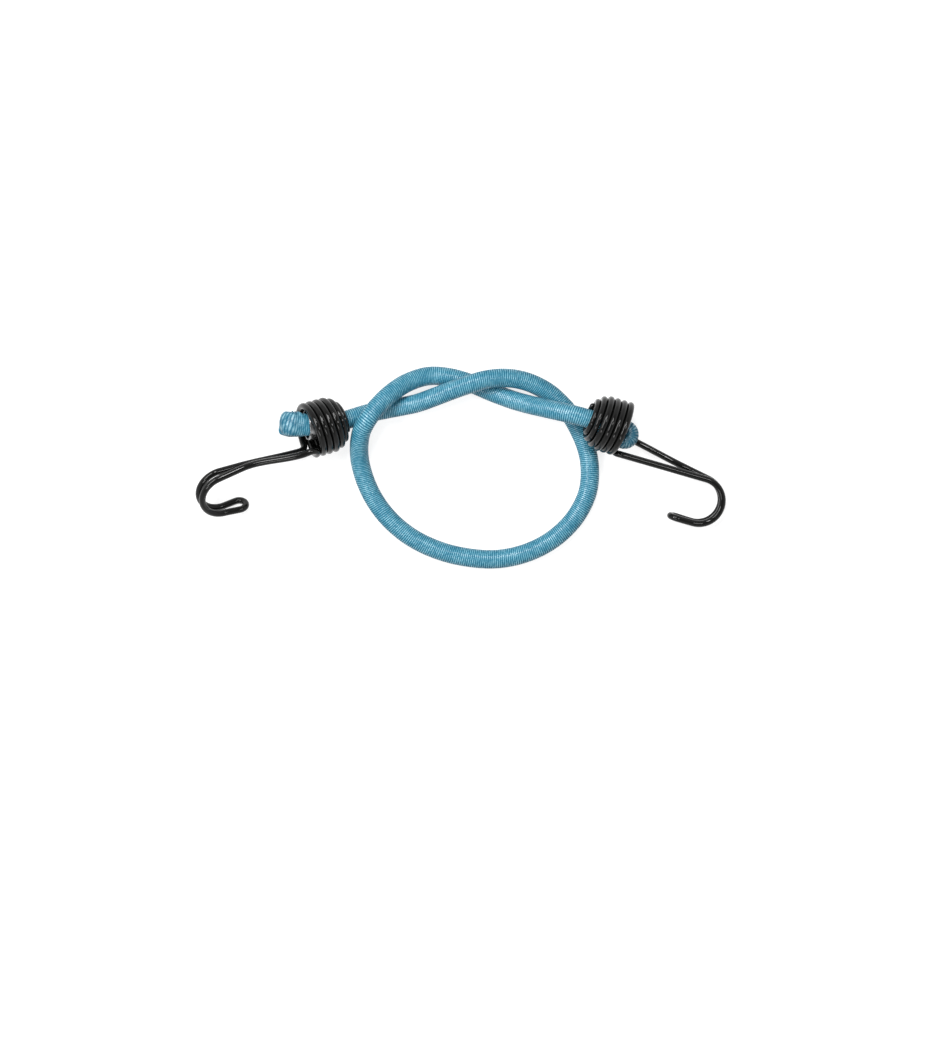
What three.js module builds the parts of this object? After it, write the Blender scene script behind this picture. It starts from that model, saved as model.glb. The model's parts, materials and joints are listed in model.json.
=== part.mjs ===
// Elastic luggage cord lying in one loose loop, with a wound wire hook on each end.
// Millimetres, +Z up, floor at z = 0. Seen from above, +X is to the right and +Y is away from the viewer.
import * as THREE from 'three'

// Sizes of the cord
const CORD_DIAMETER = 8
const SLEEVE_WALL = 1.1
const STRAND_GAP = 0.25
const FLOOR_FLAT = 0.8
const CROSSING_GAP = 0.4
const CORD_SIDES = 10
const STRAND_SIDES = 4
const CORD_STEPS = 54

// Sizes of the folded and crimped cord end
const FOLD_GAP = 0.4
const SQUEEZE_THIN = 0.6
const SQUEEZE_WIDE = 1.15
const CRIMP_CLEARANCE = 0.3
const CRIMP_WALL = 0.7
const CRIMP_WIDTH = 5
const CRIMP_INSET = 1
const CRIMP_SLIT_DEG = 14
const CRIMP_LEAD = 0.7
const ENTRY_STRAIGHT = 2.3
const END_TAIL = 1.3
const SWING_LENGTH = 10

// Sizes of the hook wire and its wound barrel
const WIRE_DIAMETER = 2.5
const WIRE_SIDES = 8
const WIRE_FLAT = 0.3
const TURN_GAP = 0.42
const ENTRY_CLEARANCE = 0.5
const MOUTH_CLEARANCE = 2.85
const BARREL_STRAIGHT = 9.6
const SHOULDER_DEG = 68
const STEPS_PER_TURN = 15

// Sizes of the hook outside the barrel
const LEG_ANGLE_DEG = 40
const ELBOW_RADIUS = 3
const SHANK_OFFSET = 10
const SHANK_HALF_SPACING = 2.2
const SHANK_STRAIGHT_FROM = 30
const BEND_RADIUS = 9.8
const HOOK_REACH = 50
const HOOK_RETURN = 22
const TIP_HALF_SPACING = 3

// Places of the two barrel mouths and the directions in which they point
const LEFT_END = {
  side: -1,
  mouth: [-66.4, 15.3, 14.4],
  turnDeg: 16.5,
  riseDeg: 15,
  foldTurnDeg: 6.8,
  foldSwing: 2.2,
  foldCentre: 5,
  foldUpright: true,
  bulgeThin: 0.66,
  bulgeWide: 1.27,
  legTwistDeg: -36,
}
const RIGHT_END = {
  side: 1,
  mouth: [69.9, 15.9, 13.5],
  turnDeg: 16.5,
  riseDeg: -8.5,
  foldTurnDeg: 23.5,
  foldSwing: -0.8,
  foldCentre: -0.3,
  foldUpright: false,
  bulgeThin: 0.74,
  bulgeWide: 1.2,
  legTwistDeg: 28,
}

// Route of the cord between the two barrels: x, y and how far the strands that it passes over lift it
const ROUTE = [
  [-45.6, 21.5, 0.62], [-40.6, 23.1, 0.36], [-31, 25.2, 0.26], [-25, 26.3, 0.32], [-19, 27.6, 0.46],
  [-12, 30, 0.72], [-4, 33, 0.97], [3, 35.4, 1.03], [10, 37.4, 0.98], [17, 38.2, 0.83], [24, 37.6, 0.6],
  [30.5, 35.6, 0.36], [37, 32, 0.14], [42.3, 27.3, 0.02], [46.5, 22.2, 0], [52.4, 10.3, 0], [54.4, 1, 0],
  [53.6, -10, 0], [48.5, -20.6, 0], [40, -29.4, 0], [29, -35.6, 0], [16, -38.7, 0], [3, -38.2, 0],
  [-10.2, -35, 0], [-22.4, -29, 0], [-32.6, -20, 0], [-39.6, -9.2, 0.02], [-43.5, 3.5, 0.4], [-42.9, 14.4, 1.22],
  [-40.1, 20.2, 1.48], [-35.6, 26.2, 1.36], [-29.4, 32.2, 1.02], [-22.5, 36.6, 0.52], [-14, 39.2, 0.12],
  [-5, 38.6, 0], [4, 36, 0], [14, 31.8, 0.1], [24, 28.2, 0.42], [41.5, 23.8, 1.36], [47.6, 22.4, 1.54],
]

const SLEEVE_BLUE = '#5aa9c6'
const RUBBER_CREAM = '#d9cfb4'
const WIRE_BLACK = '#1d1d1c'
const CRIMP_SILVER = '#c3c7ca'

const UP = new THREE.Vector3(0, 0, 1)
const cordRadius = CORD_DIAMETER / 2
const wireRadius = WIRE_DIAMETER / 2
const squeezedThin = cordRadius * SQUEEZE_THIN
const squeezedWide = cordRadius * SQUEEZE_WIDE
const crimpOffset = squeezedThin + FOLD_GAP / 2
const bundleRadius = measureBundle()
const crimpInner = bundleRadius + CRIMP_CLEARANCE
const crimpOuter = crimpInner + CRIMP_WALL
const mouthRadius = crimpOuter + MOUTH_CLEARANCE + wireRadius
const entryRadius = cordRadius + ENTRY_CLEARANCE + wireRadius
const turnPitch = WIRE_DIAMETER + TURN_GAP
const shoulderAngle = THREE.MathUtils.degToRad(SHOULDER_DEG)
const shoulderRadius = (mouthRadius - entryRadius) / (1 - Math.cos(shoulderAngle))
const barrelLength = BARREL_STRAIGHT + shoulderRadius * Math.sin(shoulderAngle)
const profileLength = BARREL_STRAIGHT + shoulderRadius * shoulderAngle

// Radius of the round hole that just takes the two squeezed strands of the fold
function measureBundle() {
  let radius = 0
  for (let degrees = 0; degrees <= 90; degrees += 1) {
    const angle = THREE.MathUtils.degToRad(degrees)
    const thinReach = crimpOffset + squeezedThin * Math.cos(angle)
    radius = Math.max(radius, Math.hypot(thinReach, squeezedWide * Math.sin(angle)))
  }
  return radius
}

function smooth(value) {
  const t = THREE.MathUtils.clamp(value, 0, 1)
  return t * t * (3 - 2 * t)
}

function named(geometry, name, colour, roughness, metalness) {
  const material = new THREE.MeshStandardMaterial({ color: colour, roughness, metalness })
  const mesh = new THREE.Mesh(geometry, material)
  mesh.name = name
  return mesh
}

// Closed body from rings of points, with flat ends, or an open pipe when a second set of rings lines its bore
function bodyFromRings(outer, bore) {
  const positions = []
  const faces = []
  const skins = bore ? [outer, bore] : [outer]
  for (const point of skins.flat(2)) positions.push(point.x, point.y, point.z)
  const sides = outer[0].length
  const last = outer.length - 1
  const boreStart = outer.length * sides
  skins.forEach((rings, skin) => {
    const start = skin * boreStart
    for (let i = 0; i < last; i += 1) {
      for (let k = 0; k < sides; k += 1) {
        const next = (k + 1) % sides
        const a = start + i * sides + k
        const b = start + i * sides + next
        if (skin === 0) faces.push(a, b, b + sides, a, b + sides, a + sides)
        else faces.push(a, b + sides, b, a, a + sides, b + sides)
      }
    }
  })
  for (let k = 0; k < sides; k += 1) {
    const next = (k + 1) % sides
    if (bore) {
      faces.push(k, boreStart + k, next, next, boreStart + k, boreStart + next)
      const a = last * sides + k
      const b = last * sides + next
      faces.push(a, b, boreStart + a, b, boreStart + b, boreStart + a)
    } else if (k > 0 && k < sides - 1) {
      faces.push(0, next, k, last * sides, last * sides + k, last * sides + next)
    }
  }
  const geometry = new THREE.BufferGeometry()
  geometry.setAttribute('position', new THREE.Float32BufferAttribute(positions, 3))
  geometry.setIndex(faces)
  if (signedVolume(geometry) < 0) {
    const index = geometry.getIndex()
    for (let i = 0; i < index.count; i += 3) {
      const second = index.getX(i + 1)
      index.setX(i + 1, index.getX(i + 2))
      index.setX(i + 2, second)
    }
  }
  geometry.computeVertexNormals()
  return geometry
}

function signedVolume(geometry) {
  const place = geometry.getAttribute('position')
  const index = geometry.getIndex()
  const corners = [new THREE.Vector3(), new THREE.Vector3(), new THREE.Vector3()]
  let volume = 0
  for (let i = 0; i < index.count; i += 3) {
    corners.forEach((corner, k) => corner.fromBufferAttribute(place, index.getX(i + k)))
    volume += corners[0].dot(corners[1].clone().cross(corners[2])) / 6
  }
  return volume
}

// Directions along a chain of points
function tangentsOf(points) {
  return points.map((point, i) => {
    const before = points[Math.max(i - 1, 0)]
    const after = points[Math.min(i + 1, points.length - 1)]
    return after.clone().sub(before).normalize()
  })
}

// Axes through one barrel: outward, level across, and square to both pointing upward
function axesAt(end, turnDeg) {
  const turn = THREE.MathUtils.degToRad(turnDeg)
  const rise = THREE.MathUtils.degToRad(end.riseDeg)
  const level = new THREE.Vector3(end.side * Math.cos(turn), -Math.sin(turn), 0)
  const outward = level.clone().multiplyScalar(Math.cos(rise)).addScaledVector(UP, Math.sin(rise))
  const across = new THREE.Vector3().crossVectors(UP, level).normalize()
  const upright = new THREE.Vector3().crossVectors(outward, across).normalize()
  return { mouth: new THREE.Vector3(...end.mouth), outward, across, upright }
}

function barrelAxes(end) {
  return axesAt(end, end.turnDeg)
}

// Axes of the folded cord end, which leans sideways in the barrel from the middle of its narrow end
function foldAxes(end) {
  const barrel = barrelAxes(end)
  const fold = axesAt(end, end.foldTurnDeg)
  const pivot = barrel.mouth.clone().addScaledVector(barrel.outward, -barrelLength)
  fold.mouth = pivot.addScaledVector(fold.outward, barrelLength)
  return fold
}

// Cord inside one barrel: it shifts off the axis, runs through the crimp, folds over and comes back
function foldedEnd(end) {
  const { mouth, outward, across, upright } = foldAxes(end)
  const sideways = end.foldUpright ? upright : across
  const far = across.clone().multiplyScalar(end.side)
  const at = (along, offset, thin, wide) => {
    const swing = end.foldSwing * (Math.max(along + CRIMP_INSET, 0) / SWING_LENGTH) ** 2
    const point = mouth.clone().addScaledVector(outward, along).addScaledVector(sideways, offset)
    return { point: point.addScaledVector(far, swing), thin, wide, upright: end.foldUpright }
  }
  const foldRadius = cordRadius * end.bulgeThin + FOLD_GAP / 2
  const crimpBack = -CRIMP_INSET - CRIMP_WIDTH
  const shiftFrom = ENTRY_STRAIGHT - barrelLength
  const shiftTo = crimpBack - END_TAIL - CRIMP_LEAD
  const samples = []
  for (const share of [0.3, 0.55, 0.8, 1]) {
    const along = THREE.MathUtils.lerp(shiftFrom, shiftTo, share)
    const thin = THREE.MathUtils.lerp(1, SQUEEZE_THIN, smooth(share))
    const wide = THREE.MathUtils.lerp(1, SQUEEZE_WIDE, smooth(share))
    samples.push(at(along, -crimpOffset * smooth(share), thin, wide))
  }
  samples.push(at(-CRIMP_INSET, -crimpOffset, SQUEEZE_THIN, SQUEEZE_WIDE))
  for (let step = 0; step <= 8; step += 1) {
    const angle = Math.PI * (step / 8 - 0.5)
    const along = end.foldCentre + foldRadius * Math.cos(angle)
    samples.push(at(along, foldRadius * Math.sin(angle), end.bulgeThin, end.bulgeWide))
  }
  samples.push(at(-CRIMP_INSET, crimpOffset, SQUEEZE_THIN, SQUEEZE_WIDE))
  samples.push(at(crimpBack - END_TAIL, crimpOffset, SQUEEZE_THIN, SQUEEZE_WIDE))
  const entry = [at(shiftFrom, 0, 1, 1), at(-barrelLength, 0, 1, 1)]
  return { samples, entry }
}

// Whole centre line of the cord, with the squeeze of its section at each step
function cordSamples() {
  const restHeight = cordRadius - FLOOR_FLAT
  const lift = CORD_DIAMETER + CROSSING_GAP
  const left = foldedEnd(LEFT_END)
  const right = foldedEnd(RIGHT_END)
  const controls = [
    ...left.entry.map((sample) => sample.point),
    ...ROUTE.map(([x, y, share]) => new THREE.Vector3(x, y, restHeight + share * lift)),
    ...right.entry.map((sample) => sample.point).reverse(),
  ]
  const curve = new THREE.CatmullRomCurve3(controls, false, 'centripetal')
  curve.arcLengthDivisions = 1200
  const spaced = curve.getSpacedPoints(CORD_STEPS)
  const middle = spaced.map((point) => ({ point, thin: 1, wide: 1, upright: true }))
  return [...left.samples.slice().reverse(), ...middle, ...right.samples]
}

// Square frame at every step: one axis level across the cord, the other upward, carried through a fold
function cordFrames(samples) {
  const tangents = tangentsOf(samples.map((sample) => sample.point))
  let previous = null
  return samples.map((sample, i) => {
    const tangent = tangents[i]
    const level = new THREE.Vector3().crossVectors(UP, tangent)
    let across = level.clone().normalize()
    if (previous && level.length() < 0.35) {
      across = previous.clone().addScaledVector(tangent, -previous.dot(tangent)).normalize()
    }
    if (previous && across.dot(previous) < 0) across.negate()
    previous = across
    const raised = new THREE.Vector3().crossVectors(tangent, across).normalize()
    const acrossScale = sample.upright ? sample.wide : sample.thin
    const raisedScale = sample.upright ? sample.thin : sample.wide
    return { point: sample.point, across, raised, acrossScale, raisedScale }
  })
}

// Ring of points round the cord, for a section of the given radius set off from the centre line
function cordRing(frame, radius, sides, offset, floor) {
  const ring = []
  for (let k = 0; k < sides; k += 1) {
    const angle = (Math.PI * 2 * (k + 0.5)) / sides - Math.PI / 2
    const point = frame.point.clone()
    point.addScaledVector(frame.across, frame.acrossScale * (offset.x + radius * Math.cos(angle)))
    point.addScaledVector(frame.raised, frame.raisedScale * (offset.y + radius * Math.sin(angle)))
    point.z = Math.max(point.z, floor)
    ring.push(point)
  }
  return ring
}

function buildCord() {
  const frames = cordFrames(cordSamples())
  const centre = new THREE.Vector2()
  const boreRadius = cordRadius - SLEEVE_WALL
  const outer = frames.map((frame) => cordRing(frame, cordRadius, CORD_SIDES, centre, 0))
  const bore = frames.map((frame) => cordRing(frame, boreRadius, CORD_SIDES, centre, 0))
  const cord = new THREE.Group()
  cord.name = 'cord'
  cord.add(named(bodyFromRings(outer, bore), 'braided_sleeve', SLEEVE_BLUE, 0.75, 0))
  const room = boreRadius * Math.cos(Math.PI / CORD_SIDES) - STRAND_GAP
  const strandRadius = (room - STRAND_GAP) / 3
  const ringRadius = 2 * strandRadius + STRAND_GAP
  for (let strand = 0; strand < 7; strand += 1) {
    const angle = (Math.PI / 3) * strand
    const outward = new THREE.Vector2(Math.cos(angle), Math.sin(angle))
    const offset = strand === 0 ? centre : outward.multiplyScalar(ringRadius)
    const rings = frames.map((frame) => cordRing(frame, strandRadius, STRAND_SIDES, offset, 0))
    cord.add(named(bodyFromRings(rings), `rubber_strand_${strand + 1}`, RUBBER_CREAM, 0.6, 0))
  }
  return cord
}

// Point on the barrel at a distance along its profile from the mouth and an angle from the hook side
function barrelPoint(along, angle) {
  const bend = Math.max(along - BARREL_STRAIGHT, 0) / shoulderRadius
  const x = along < BARREL_STRAIGHT ? -along : -BARREL_STRAIGHT - shoulderRadius * Math.sin(bend)
  const radius = mouthRadius - shoulderRadius * (1 - Math.cos(bend))
  return new THREE.Vector3(x, radius * Math.sin(angle), -radius * Math.cos(angle))
}

// One wire of the pair, from its cut end in the narrow end of the barrel out to the top of the bend
function barrelWire(legAngle, firstAlong, side) {
  const points = []
  const startAngle = legAngle + ELBOW_RADIUS / mouthRadius
  const slope = (2 * turnPitch) / (Math.PI * 2)
  const turns = (profileLength - firstAlong) / (2 * turnPitch)
  const steps = Math.round(turns * STEPS_PER_TURN)
  for (let step = steps; step >= 1; step -= 1) {
    const swept = (turns * Math.PI * 2 * step) / steps
    points.push(barrelPoint(firstAlong + slope * swept, startAngle + swept))
  }
  for (let step = 4; step >= 0; step -= 1) {
    const angle = (Math.PI / 2) * (step / 4)
    const along = firstAlong - ELBOW_RADIUS * (1 - Math.sin(angle))
    points.push(barrelPoint(along, legAngle + (ELBOW_RADIUS * (1 - Math.cos(angle))) / mouthRadius))
  }
  const legStart = points[points.length - 1]
  const bendX = HOOK_REACH - wireRadius - BEND_RADIUS
  const bendZ = -SHANK_OFFSET - BEND_RADIUS
  const run = bendX - legStart.x
  const drop = legStart.z - bendZ
  const lean = Math.atan2(drop, run) - Math.asin(BEND_RADIUS / Math.hypot(run, drop))
  const bendStart = new THREE.Vector3(bendX, 0, bendZ)
  bendStart.x += BEND_RADIUS * Math.sin(lean)
  bendStart.z += BEND_RADIUS * Math.cos(lean)
  for (const share of [0.16, 0.32, 0.48, 0.64, 0.8]) {
    const x = THREE.MathUtils.lerp(legStart.x, bendStart.x, share)
    const z = THREE.MathUtils.lerp(legStart.z, bendStart.z, share)
    const closed = smooth((x - legStart.x) / (SHANK_STRAIGHT_FROM - legStart.x))
    points.push(new THREE.Vector3(x, THREE.MathUtils.lerp(legStart.y, side * SHANK_HALF_SPACING, closed), z))
  }
  for (let step = 0; step <= 12; step += 1) {
    const angle = THREE.MathUtils.lerp(lean, Math.PI, step / 12)
    const x = bendX + BEND_RADIUS * Math.sin(angle)
    const z = bendZ + BEND_RADIUS * Math.cos(angle)
    points.push(new THREE.Vector3(x, side * SHANK_HALF_SPACING, z))
  }
  return points
}

// Centre line of the whole hook wire: out along one wire, round the hairpin tip and back along the other
function hookCentreLine(end) {
  const legAngle = THREE.MathUtils.degToRad(LEG_ANGLE_DEG)
  const twist = THREE.MathUtils.degToRad(end.legTwistDeg)
  const first = barrelWire(twist + legAngle, 0, 1)
  const second = barrelWire(twist - legAngle, turnPitch * (1 - (2 * legAngle) / Math.PI), -1)
  const tipCentre = HOOK_REACH - HOOK_RETURN + wireRadius + TIP_HALF_SPACING
  const tipHeight = -SHANK_OFFSET - 2 * BEND_RADIUS
  const tip = []
  for (let step = 0; step <= 8; step += 1) {
    const angle = Math.PI * (step / 8)
    const x = tipCentre - TIP_HALF_SPACING * Math.sin(angle)
    tip.push(new THREE.Vector3(x, TIP_HALF_SPACING * Math.cos(angle), tipHeight))
  }
  return [...first, ...tip, ...second.reverse()]
}

// Rings round the wire, turned with the wire so that one flat side faces the middle of the bend
function wireRings(points) {
  const tangents = tangentsOf(points)
  const middle = points.reduce((best, point, i) => (point.x > points[best].x ? i : best), 0)
  const across = []
  across[middle] = new THREE.Vector3(0, 1, 0)
  const turn = new THREE.Quaternion()
  for (let i = middle + 1; i < points.length; i += 1) {
    across[i] = across[i - 1].clone().applyQuaternion(turn.setFromUnitVectors(tangents[i - 1], tangents[i]))
  }
  for (let i = middle - 1; i >= 0; i -= 1) {
    across[i] = across[i + 1].clone().applyQuaternion(turn.setFromUnitVectors(tangents[i + 1], tangents[i]))
  }
  return points.map((point, i) => {
    const inward = new THREE.Vector3().crossVectors(tangents[i], across[i])
    const ring = []
    for (let k = 0; k < WIRE_SIDES; k += 1) {
      const angle = (Math.PI * 2 * (k + 0.5)) / WIRE_SIDES
      ring.push(
        point.clone()
          .addScaledVector(across[i], wireRadius * Math.cos(angle))
          .addScaledVector(inward, wireRadius * Math.sin(angle)),
      )
    }
    return ring
  })
}

// Smallest space between two passes of the hook wire
function leastWireGap(points) {
  let travelled = 0
  const distance = points.map((point, i) => {
    travelled += i > 0 ? point.distanceTo(points[i - 1]) : 0
    return travelled
  })
  let least = Infinity
  for (let i = 0; i < points.length; i += 1) {
    for (let k = i + 1; k < points.length; k += 1) {
      if (distance[k] - distance[i] > 4 * WIRE_DIAMETER) {
        least = Math.min(least, points[i].distanceTo(points[k]) - WIRE_DIAMETER)
      }
    }
  }
  return least
}

// Matrix that carries the hook's own axes to its place, rolled about the barrel's axis
function hookMatrix(end, rollDeg) {
  const { mouth, outward, across, upright } = barrelAxes(end)
  const near = across.clone().multiplyScalar(-end.side)
  const roll = THREE.MathUtils.degToRad(rollDeg)
  const hookSide = near.clone().multiplyScalar(Math.cos(roll)).addScaledVector(upright, -Math.sin(roll))
  const front = near.clone().multiplyScalar(Math.sin(roll)).addScaledVector(upright, Math.cos(roll))
  const matrix = new THREE.Matrix4().makeBasis(outward, front.negate(), hookSide.negate())
  return matrix.setPosition(mouth)
}

// Roll at which the tip of the hook comes to rest on the floor
function restingRoll(end, points) {
  const far = points.filter((point) => point.x > SHANK_STRAIGHT_FROM)
  let low = 0
  let high = 80
  for (let step = 0; step < 40; step += 1) {
    const roll = (low + high) / 2
    const matrix = hookMatrix(end, roll)
    const heights = far.map((point) => point.clone().applyMatrix4(matrix).z)
    if (Math.min(...heights) > wireRadius - WIRE_FLAT) low = roll
    else high = roll
  }
  return low
}

function buildHook(end, name) {
  const points = hookCentreLine(end)
  const matrix = hookMatrix(end, restingRoll(end, points))
  const back = matrix.clone().invert()
  const rings = wireRings(points)
  rings.forEach((ring) => ring.forEach((point) => {
    point.applyMatrix4(matrix)
    point.z = Math.max(point.z, 0)
    point.applyMatrix4(back)
  }))
  const holder = new THREE.Group()
  holder.name = `${name}_place`
  holder.add(named(bodyFromRings(rings), name, WIRE_BLACK, 0.25, 0.3))
  holder.applyMatrix4(matrix)
  return holder
}

// Split band that holds the two strands of the folded end
function buildCrimp(end, name) {
  const half = THREE.MathUtils.degToRad(CRIMP_SLIT_DEG / 2)
  const outline = new THREE.Shape()
  outline.absarc(0, 0, crimpOuter, half, Math.PI * 2 - half, false)
  outline.absarc(0, 0, crimpInner, Math.PI * 2 - half, half, true)
  outline.closePath()
  const extrusion = { depth: CRIMP_WIDTH, bevelEnabled: false, curveSegments: 18 }
  const band = new THREE.ExtrudeGeometry(outline, extrusion)
  band.translate(0, 0, -CRIMP_INSET - CRIMP_WIDTH)
  const { mouth, outward, across, upright } = foldAxes(end)
  const slitSide = end.foldUpright ? across : upright
  const third = new THREE.Vector3().crossVectors(outward, slitSide)
  const holder = new THREE.Group()
  holder.name = `${name}_place`
  holder.add(named(band, name, CRIMP_SILVER, 0.3, 0.9))
  holder.applyMatrix4(new THREE.Matrix4().makeBasis(slitSide, third, outward).setPosition(mouth))
  return holder
}

const assembly = new THREE.Group()
assembly.name = 'bungee_cord'
const metal = new THREE.Group()
metal.name = 'hooks_and_crimps'
metal.add(buildHook(LEFT_END, 'left_hook'), buildHook(RIGHT_END, 'right_hook'))
metal.add(buildCrimp(LEFT_END, 'left_crimp'), buildCrimp(RIGHT_END, 'right_crimp'))
metal.updateMatrixWorld(true)
const metalBox = new THREE.Box3().setFromObject(metal, true)
const metalCentre = metalBox.getCenter(new THREE.Vector3())
assembly.add(metal, buildCord())
assembly.position.set(-metalCentre.x, -metalCentre.y, 0)
const wireGaps = [LEFT_END, RIGHT_END].map((end) => leastWireGap(hookCentreLine(end)).toFixed(3))
console.log('least gap between passes of each hook wire, mm:', wireGaps.join(' and '))

export default assembly
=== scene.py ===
# Elastic luggage cord lying in one loose loop, with a wound wire hook on each end.
# Metres, +Z up, floor at z = 0. Seen from above, +X is to the right and +Y is away from the viewer.
import json
import math

import bpy
import numpy as np
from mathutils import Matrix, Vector


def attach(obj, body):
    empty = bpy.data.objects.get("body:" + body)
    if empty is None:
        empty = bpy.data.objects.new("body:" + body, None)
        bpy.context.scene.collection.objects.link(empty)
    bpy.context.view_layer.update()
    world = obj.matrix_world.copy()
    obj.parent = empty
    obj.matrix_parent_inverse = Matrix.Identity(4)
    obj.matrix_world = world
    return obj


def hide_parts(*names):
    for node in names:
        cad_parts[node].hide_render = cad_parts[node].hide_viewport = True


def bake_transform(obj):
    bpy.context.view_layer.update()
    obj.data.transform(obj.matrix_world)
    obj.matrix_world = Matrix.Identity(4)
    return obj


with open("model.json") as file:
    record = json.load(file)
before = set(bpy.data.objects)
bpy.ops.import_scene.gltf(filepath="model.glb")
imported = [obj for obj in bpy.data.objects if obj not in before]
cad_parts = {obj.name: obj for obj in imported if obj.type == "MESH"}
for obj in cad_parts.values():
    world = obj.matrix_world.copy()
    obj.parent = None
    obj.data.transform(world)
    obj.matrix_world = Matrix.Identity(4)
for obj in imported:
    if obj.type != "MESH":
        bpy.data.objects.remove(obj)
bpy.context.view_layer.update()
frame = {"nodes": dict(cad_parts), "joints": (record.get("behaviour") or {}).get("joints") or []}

# Sizes of the cord
CORD_DIAMETER = 0.008
SLEEVE_WALL = 0.0011
FLOOR_FLAT = 0.0008
CROSSING_GAP = 0.0004
CORD_SIDES = 32
CURVE_STEPS = 24
BORE_EVERY = 6

# Least level part of a cross axis, below which a frame is carried on from the step before
LEVEL_LEAST = 0.35

# Edges that turn by more than this stay sharp
SHARP_EDGE_DEG = 62

# Ribs of the braid, which run round the cord in a shallow helix
RIB_PITCH = 0.00086
RIB_HEIGHT = 0.00006
RIB_STARTS = 2
STEPS_PER_RIB = 5
YARNS_ROUND = 6
RIB_SHAPE = 0.8
RIB_FADE_ON_FOLD = 0.85

# Sizes of the folded and crimped cord end
FOLD_GAP = 0.0004
SQUEEZE_THIN = 0.6
SQUEEZE_WIDE = 1.15
BULGE_FULLNESS = 5
CRIMP_CLEARANCE = 0.0003
CRIMP_WALL = 0.0007
CRIMP_WIDTH = 0.005
CRIMP_INSET = 0.001
CRIMP_SLIT_DEG = 14
CRIMP_LEAD = 0.0007
CRIMP_EDGE = 0.0002
CRIMP_STEPS = 73
ENTRY_STRAIGHT = 0.0023
END_TAIL = 0.0013
SWING_LENGTH = 0.01
SHIFT_SHARES = (0.3, 0.55, 0.8, 1)
FOLD_STEPS = 9
BUNDLE_STEPS = 91

# Rounded corners of the crimp strip: side along the cord, side of its wall, and first angle in degrees
CRIMP_CORNERS = [(1, 1, 0), (-1, 1, 90), (-1, -1, 180), (1, -1, 270)]
CRIMP_CORNER_DEGS = (0, 30, 60, 90)

# Rubber strands inside the sleeve
STRAND_GAP = 0.00015
STRAND_SIDES = 10
STRAND_STEP = 0.0015
STRAND_COUNT = 7

# Sizes of the hook wire and its wound barrel
WIRE_DIAMETER = 0.0025
WIRE_SEEN = 0.0029
WIRE_SIDES = 20
WIRE_STEP = 0.0005
WIRE_FLAT = 0.0003
WIRE_END_ROUND = 0.0003
NARROW_TURNS = 0.03
TURN_GAP = 0.00042
ENTRY_CLEARANCE = 0.0005
MOUTH_CLEARANCE = 0.00285
BARREL_STRAIGHT = 0.0096
SHOULDER_DEG = 68
STEPS_PER_TURN = 48
WIRE_CURVE_STEPS = 6

# Sizes of the hook outside the barrel
LEG_ANGLE_DEG = 40
ELBOW_RADIUS = 0.003
SHANK_OFFSET = 0.01
SHANK_HALF_SPACING = 0.0022
SHANK_STRAIGHT_FROM = 0.03
BEND_RADIUS = 0.0098
HOOK_REACH = 0.05
HOOK_RETURN = 0.022
TIP_HALF_SPACING = 0.003
ELBOW_STEPS = 8
LEG_SHARES = (0.08, 0.92)
LEG_STEPS = 14
BEND_STEPS = 25
TIP_STEPS = 17

# Search for the roll at which a hook rests on the floor
ROLL_MOST_DEG = 80.0
ROLL_HALVINGS = 40

# Places of the two barrel mouths and the directions in which they point
LEFT_END = {
    "side": -1,
    "mouth": (-0.0664, 0.0153, 0.0144),
    "turn_deg": 16.5,
    "rise_deg": 15,
    "fold_turn_deg": 6.8,
    "fold_swing": 0.0022,
    "fold_centre": 0.005,
    "fold_upright": True,
    "bulge_thin": 0.66,
    "bulge_wide": 1.27,
    "leg_twist_deg": -36,
}
RIGHT_END = {
    "side": 1,
    "mouth": (0.0699, 0.0159, 0.0135),
    "turn_deg": 16.5,
    "rise_deg": -8.5,
    "fold_turn_deg": 23.5,
    "fold_swing": -0.0008,
    "fold_centre": -0.0003,
    "fold_upright": False,
    "bulge_thin": 0.74,
    "bulge_wide": 1.2,
    "leg_twist_deg": 28,
}

# Route of the cord between the two barrels: x, y and how far the strands that it passes over lift it
ROUTE = [
    (-0.0456, 0.0215, 0.62), (-0.0406, 0.0231, 0.36), (-0.031, 0.0252, 0.26), (-0.025, 0.0263, 0.32),
    (-0.019, 0.0276, 0.46), (-0.012, 0.03, 0.72), (-0.004, 0.033, 0.97), (0.003, 0.0354, 1.03),
    (0.01, 0.0374, 0.98), (0.017, 0.0382, 0.83), (0.024, 0.0376, 0.6), (0.0305, 0.0356, 0.36),
    (0.037, 0.032, 0.14), (0.0423, 0.0273, 0.02), (0.0465, 0.0222, 0), (0.0524, 0.0103, 0),
    (0.0544, 0.001, 0), (0.0536, -0.01, 0), (0.0485, -0.0206, 0), (0.04, -0.0294, 0),
    (0.029, -0.0356, 0), (0.016, -0.0387, 0), (0.003, -0.0382, 0), (-0.0102, -0.035, 0),
    (-0.0224, -0.029, 0), (-0.0326, -0.02, 0), (-0.0396, -0.0092, 0.02), (-0.0435, 0.0035, 0.4),
    (-0.0429, 0.0144, 1.22), (-0.0401, 0.0202, 1.48), (-0.0356, 0.0262, 1.36), (-0.0294, 0.0322, 1.02),
    (-0.0225, 0.0366, 0.52), (-0.014, 0.0392, 0.12), (-0.005, 0.0386, 0), (0.004, 0.036, 0),
    (0.014, 0.0318, 0.1), (0.024, 0.0282, 0.42), (0.0415, 0.0238, 1.36), (0.0476, 0.0224, 1.54),
]

# Points of the route, counted from its left end, where one piece of the sleeve meets the next
LOOP_STARTS_AT = 13
LOOP_ENDS_AT = 35

# View from straight above
VIEW_CENTRE = (0.0034, -0.02558, 0.007)
VIEW_HEIGHT = 0.4442
VIEW_DISTANCE = 2.0
SENSOR_WIDTH = 36.0

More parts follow.
